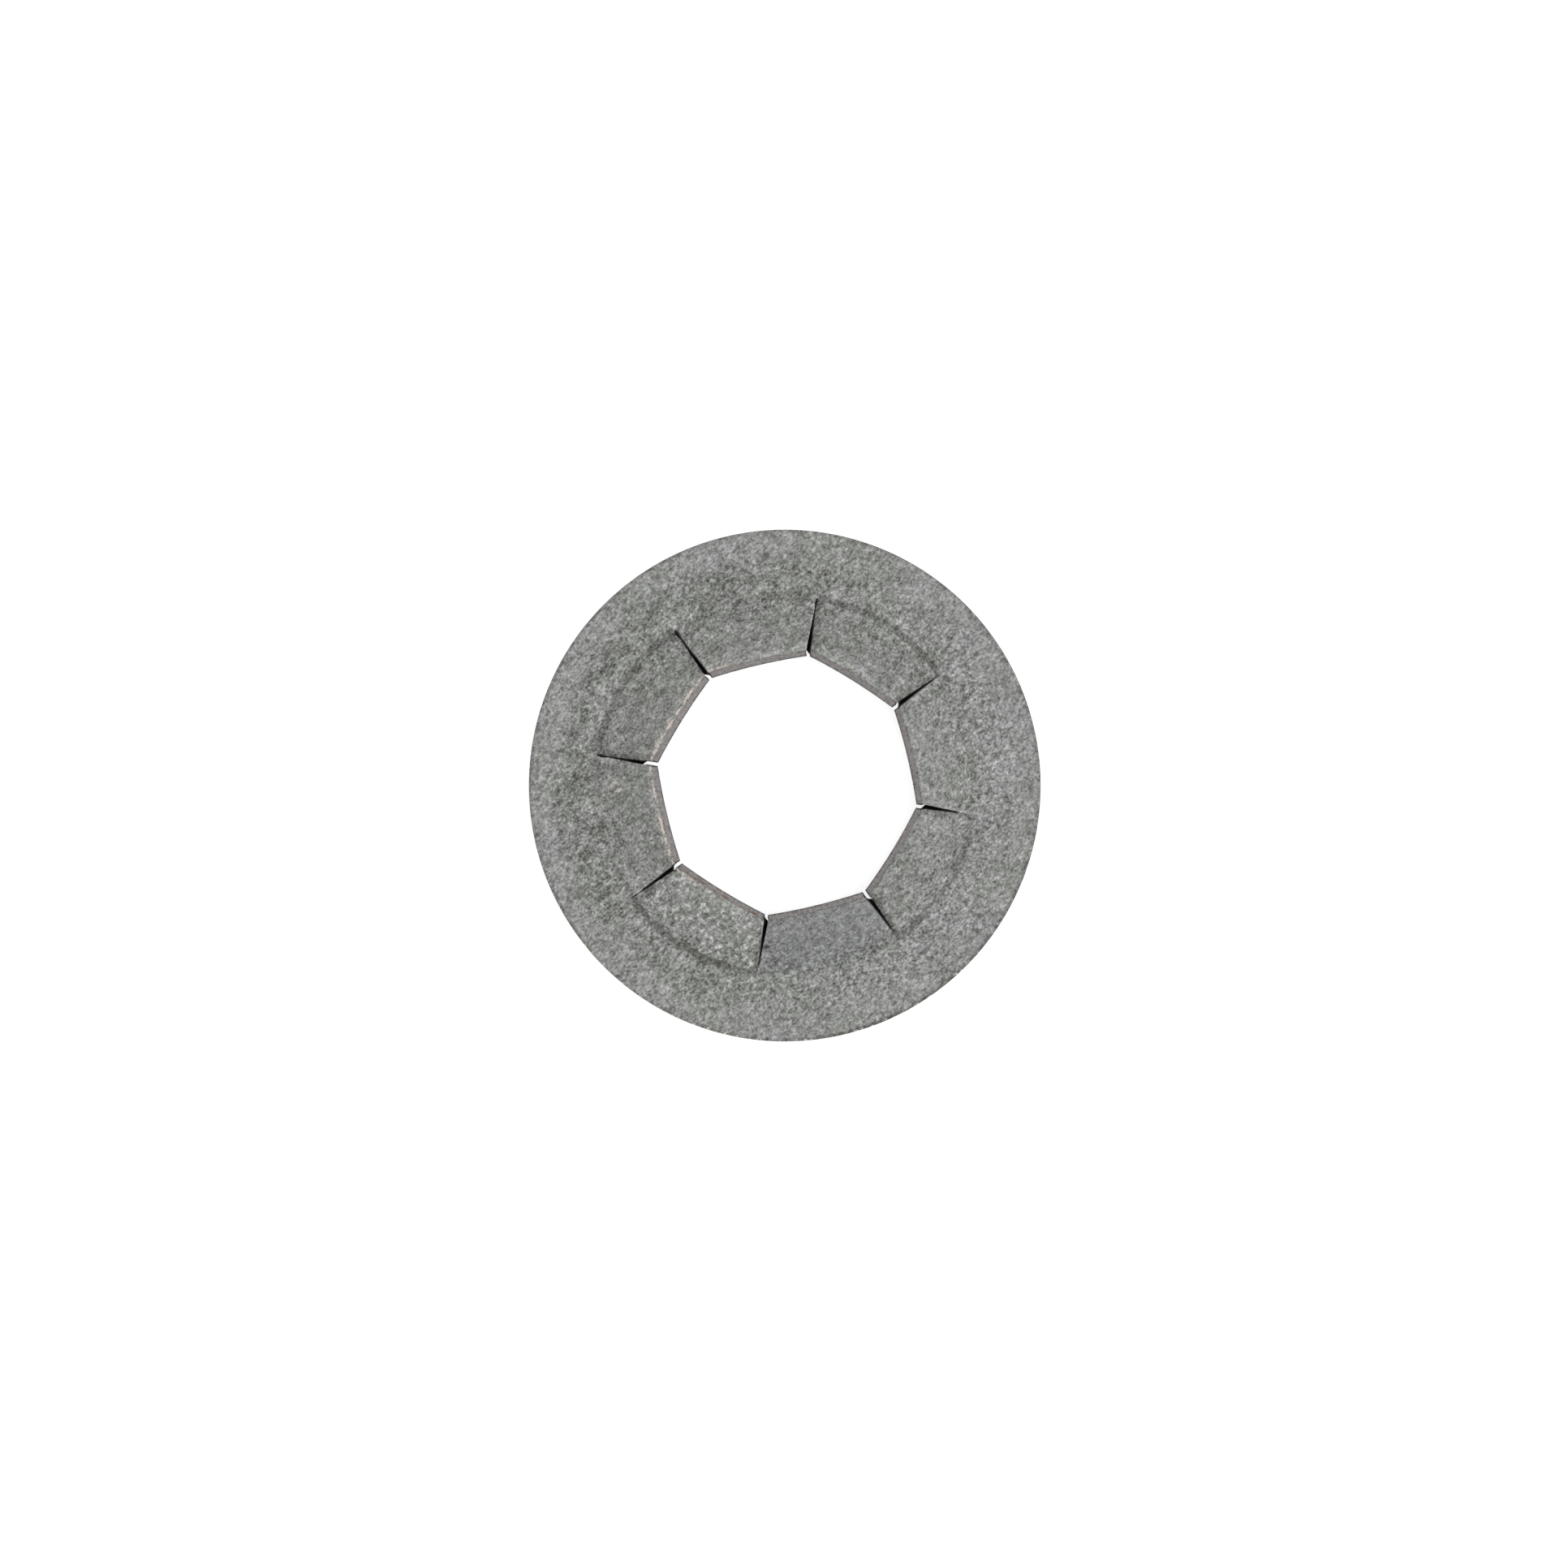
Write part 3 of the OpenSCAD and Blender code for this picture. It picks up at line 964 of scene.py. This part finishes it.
def phosphate_material(finish):
    """Matt grey phosphate on strip steel, with its sheared faces and its wear."""
    material = bpy.data.materials.new(STEEL_SLOT)
    graph = node_graph(material)
    surface = Surface(graph, finish)
    sheared = surface.values["layer"].band(*SHEARED_LAYERS)
    covered = sheared.mixed(Coating(surface, finish).colour(), CutFaces(surface, finish).colour())
    bare = Wear(surface, finish).bare_share()
    bump = graph.node("ShaderNodeBump", sockets={
        "Strength": finish.grain_relief,
        "Distance": finish.grain_height,
        "Height": surface.grains["fine"],
    })
    shader = graph.node("ShaderNodeBsdfPrincipled", sockets={
        "Base Color": bare.mixed(covered, rgba(finish.bare_steel)),
        "Roughness": finish.roughness - finish.bare_gloss * bare,
        "Metallic": finish.bare_metal * bare,
        "Specular IOR Level": finish.reflection,
        "Normal": bump,
    })
    graph.node("ShaderNodeOutputMaterial", sockets={"Surface": shader})
    return material


def seen_rays(graph):
    """1 for rays from the camera, off a gloss or through glass, and 0 for the rest."""
    camera = graph.node("ShaderNodeLightPath", output="Is Camera Ray")
    glossy = graph.node("ShaderNodeLightPath", output="Is Glossy Ray")
    through = graph.node("ShaderNodeLightPath", output="Is Transmission Ray")
    return camera.larger(glossy).larger(through)


def floor_material(stage):
    """Matt pale floor that keeps shadows, with white added where the camera or a reflection sees it."""
    material = bpy.data.materials.new("pale_floor")
    graph = node_graph(material)
    matt = graph.node("ShaderNodeBsdfDiffuse", sockets={"Color": rgba(stage.floor_colour)})
    glow = graph.node("ShaderNodeEmission", sockets={"Strength": seen_rays(graph) * stage.floor_glow})
    both = graph.node("ShaderNodeAddShader", sockets={0: matt, 1: glow})
    graph.node("ShaderNodeOutputMaterial", sockets={"Surface": both})
    return material


def white_world(stage):
    """Even light from all round, which the camera and reflections see as plain white."""
    world = bpy.data.worlds.new("white_surround")
    bpy.context.scene.world = world
    graph = node_graph(world)
    strength = stage.ambient + (1 - stage.ambient) * seen_rays(graph)
    light = graph.node("ShaderNodeBackground", sockets={"Color": rgba((1, 1, 1)), "Strength": strength})
    graph.node("ShaderNodeOutputWorld", sockets={"Surface": light})


def link_object(name, data):
    """A new object at the origin, in the scene."""
    made = bpy.data.objects.new(name, data)
    bpy.context.scene.collection.objects.link(made)
    return made


class FormRing(bpy.types.Operator):
    """Form the ring from its strip and give it the phosphate finish"""

    bl_idname = "retaining_ring.form_ring"
    bl_label = "Form the ring"

    def execute(self, context):
        sizes = context.scene.ring_sizes
        finish = context.scene.ring_finish
        form = RingForm(sizes, finish)
        form.add_rim()
        for number in range(sizes.tab_count):
            form.add_tab(number)
        ring = link_object("formed_ring", form.patches.mesh("formed_ring"))
        ring.data.materials.append(phosphate_material(finish))
        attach(ring, ROOT_BODY)
        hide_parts(RING_NODE)
        return {"FINISHED"}


class SetStage(bpy.types.Operator):
    """Set the pale floor, the soft light and the camera straight above the ring"""

    bl_idname = "retaining_ring.set_stage"
    bl_label = "Set the stage"

    def execute(self, context):
        stage = context.scene.ring_stage
        self.add_floor(stage)
        white_world(stage)
        self.add_key(stage)
        self.add_camera(context, stage)
        context.scene.view_settings.view_transform = "Standard"
        return {"FINISHED"}

    def add_floor(self, stage):
        """A square floor just under the rim."""
        side = stage.floor_size / 2
        mesh = bpy.data.meshes.new("floor")
        corners = [(-side, -side), (side, -side), (side, side), (-side, side)]
        mesh.from_pydata([(x, y, -stage.floor_gap) for x, y in corners], [], [(0, 1, 2, 3)])
        floor = link_object("floor", mesh)
        mesh.materials.append(floor_material(stage))

    def add_key(self, stage):
        """A square lamp whose power gives the floor under it the key level."""
        lamp = bpy.data.lights.new("key_lamp", "AREA")
        lamp.size = stage.key_size
        lamp.energy = stage.key_level * math.pi ** 2 * stage.key_distance ** 2 / math.sin(stage.key_rise)
        key = link_object("key_lamp", lamp)
        flat = stage.key_distance * math.cos(stage.key_rise)
        height = stage.key_distance * math.sin(stage.key_rise)
        key.location = (flat * math.cos(stage.key_turn), flat * math.sin(stage.key_turn), height)
        key.rotation_euler = (0, math.pi / 2 - stage.key_rise, stage.key_turn)

    def add_camera(self, context, stage):
        """A camera that looks straight down, turned about the axis."""
        data = bpy.data.cameras.new("camera")
        data.lens = stage.lens
        data.clip_start = stage.nearest
        camera = link_object("camera", data)
        height = STRIP_THICKNESS + stage.frame_width * stage.lens / data.sensor_width
        turn = stage.camera_turn
        right = stage.camera_right * math.cos(turn) - stage.camera_up * math.sin(turn)
        up = stage.camera_right * math.sin(turn) + stage.camera_up * math.cos(turn)
        camera.location = (right, up, height)
        camera.rotation_euler = (0, 0, turn)
        context.scene.camera = camera


class RingPanel(bpy.types.Panel):
    """Sizes, finish and stage of the ring"""

    bl_idname = "VIEW3D_PT_retaining_ring"
    bl_label = "Retaining ring"
    bl_space_type = "VIEW_3D"
    bl_region_type = "UI"
    bl_category = "Ring"

    def draw(self, context):
        layout = self.layout
        for group in (context.scene.ring_sizes, context.scene.ring_finish, context.scene.ring_stage):
            column = layout.box().column()
            for name in group.__annotations__:
                column.prop(group, name)
        for operator in (FormRing, SetStage):
            layout.operator(operator.bl_idname)


CLASSES = (RingSizes, RingFinish, StageSettings, FormRing, SetStage, RingPanel)


def register():
    for cls in CLASSES:
        bpy.utils.register_class(cls)
    bpy.types.Scene.ring_sizes = PointerProperty(type=RingSizes)
    bpy.types.Scene.ring_finish = PointerProperty(type=RingFinish)
    bpy.types.Scene.ring_stage = PointerProperty(type=StageSettings)


def unregister():
    del bpy.types.Scene.ring_stage
    del bpy.types.Scene.ring_finish
    del bpy.types.Scene.ring_sizes
    for cls in reversed(CLASSES):
        bpy.utils.unregister_class(cls)


def main():
    register()
    bpy.ops.retaining_ring.form_ring()
    bpy.ops.retaining_ring.set_stage()


if __name__ == "__main__":
    main()
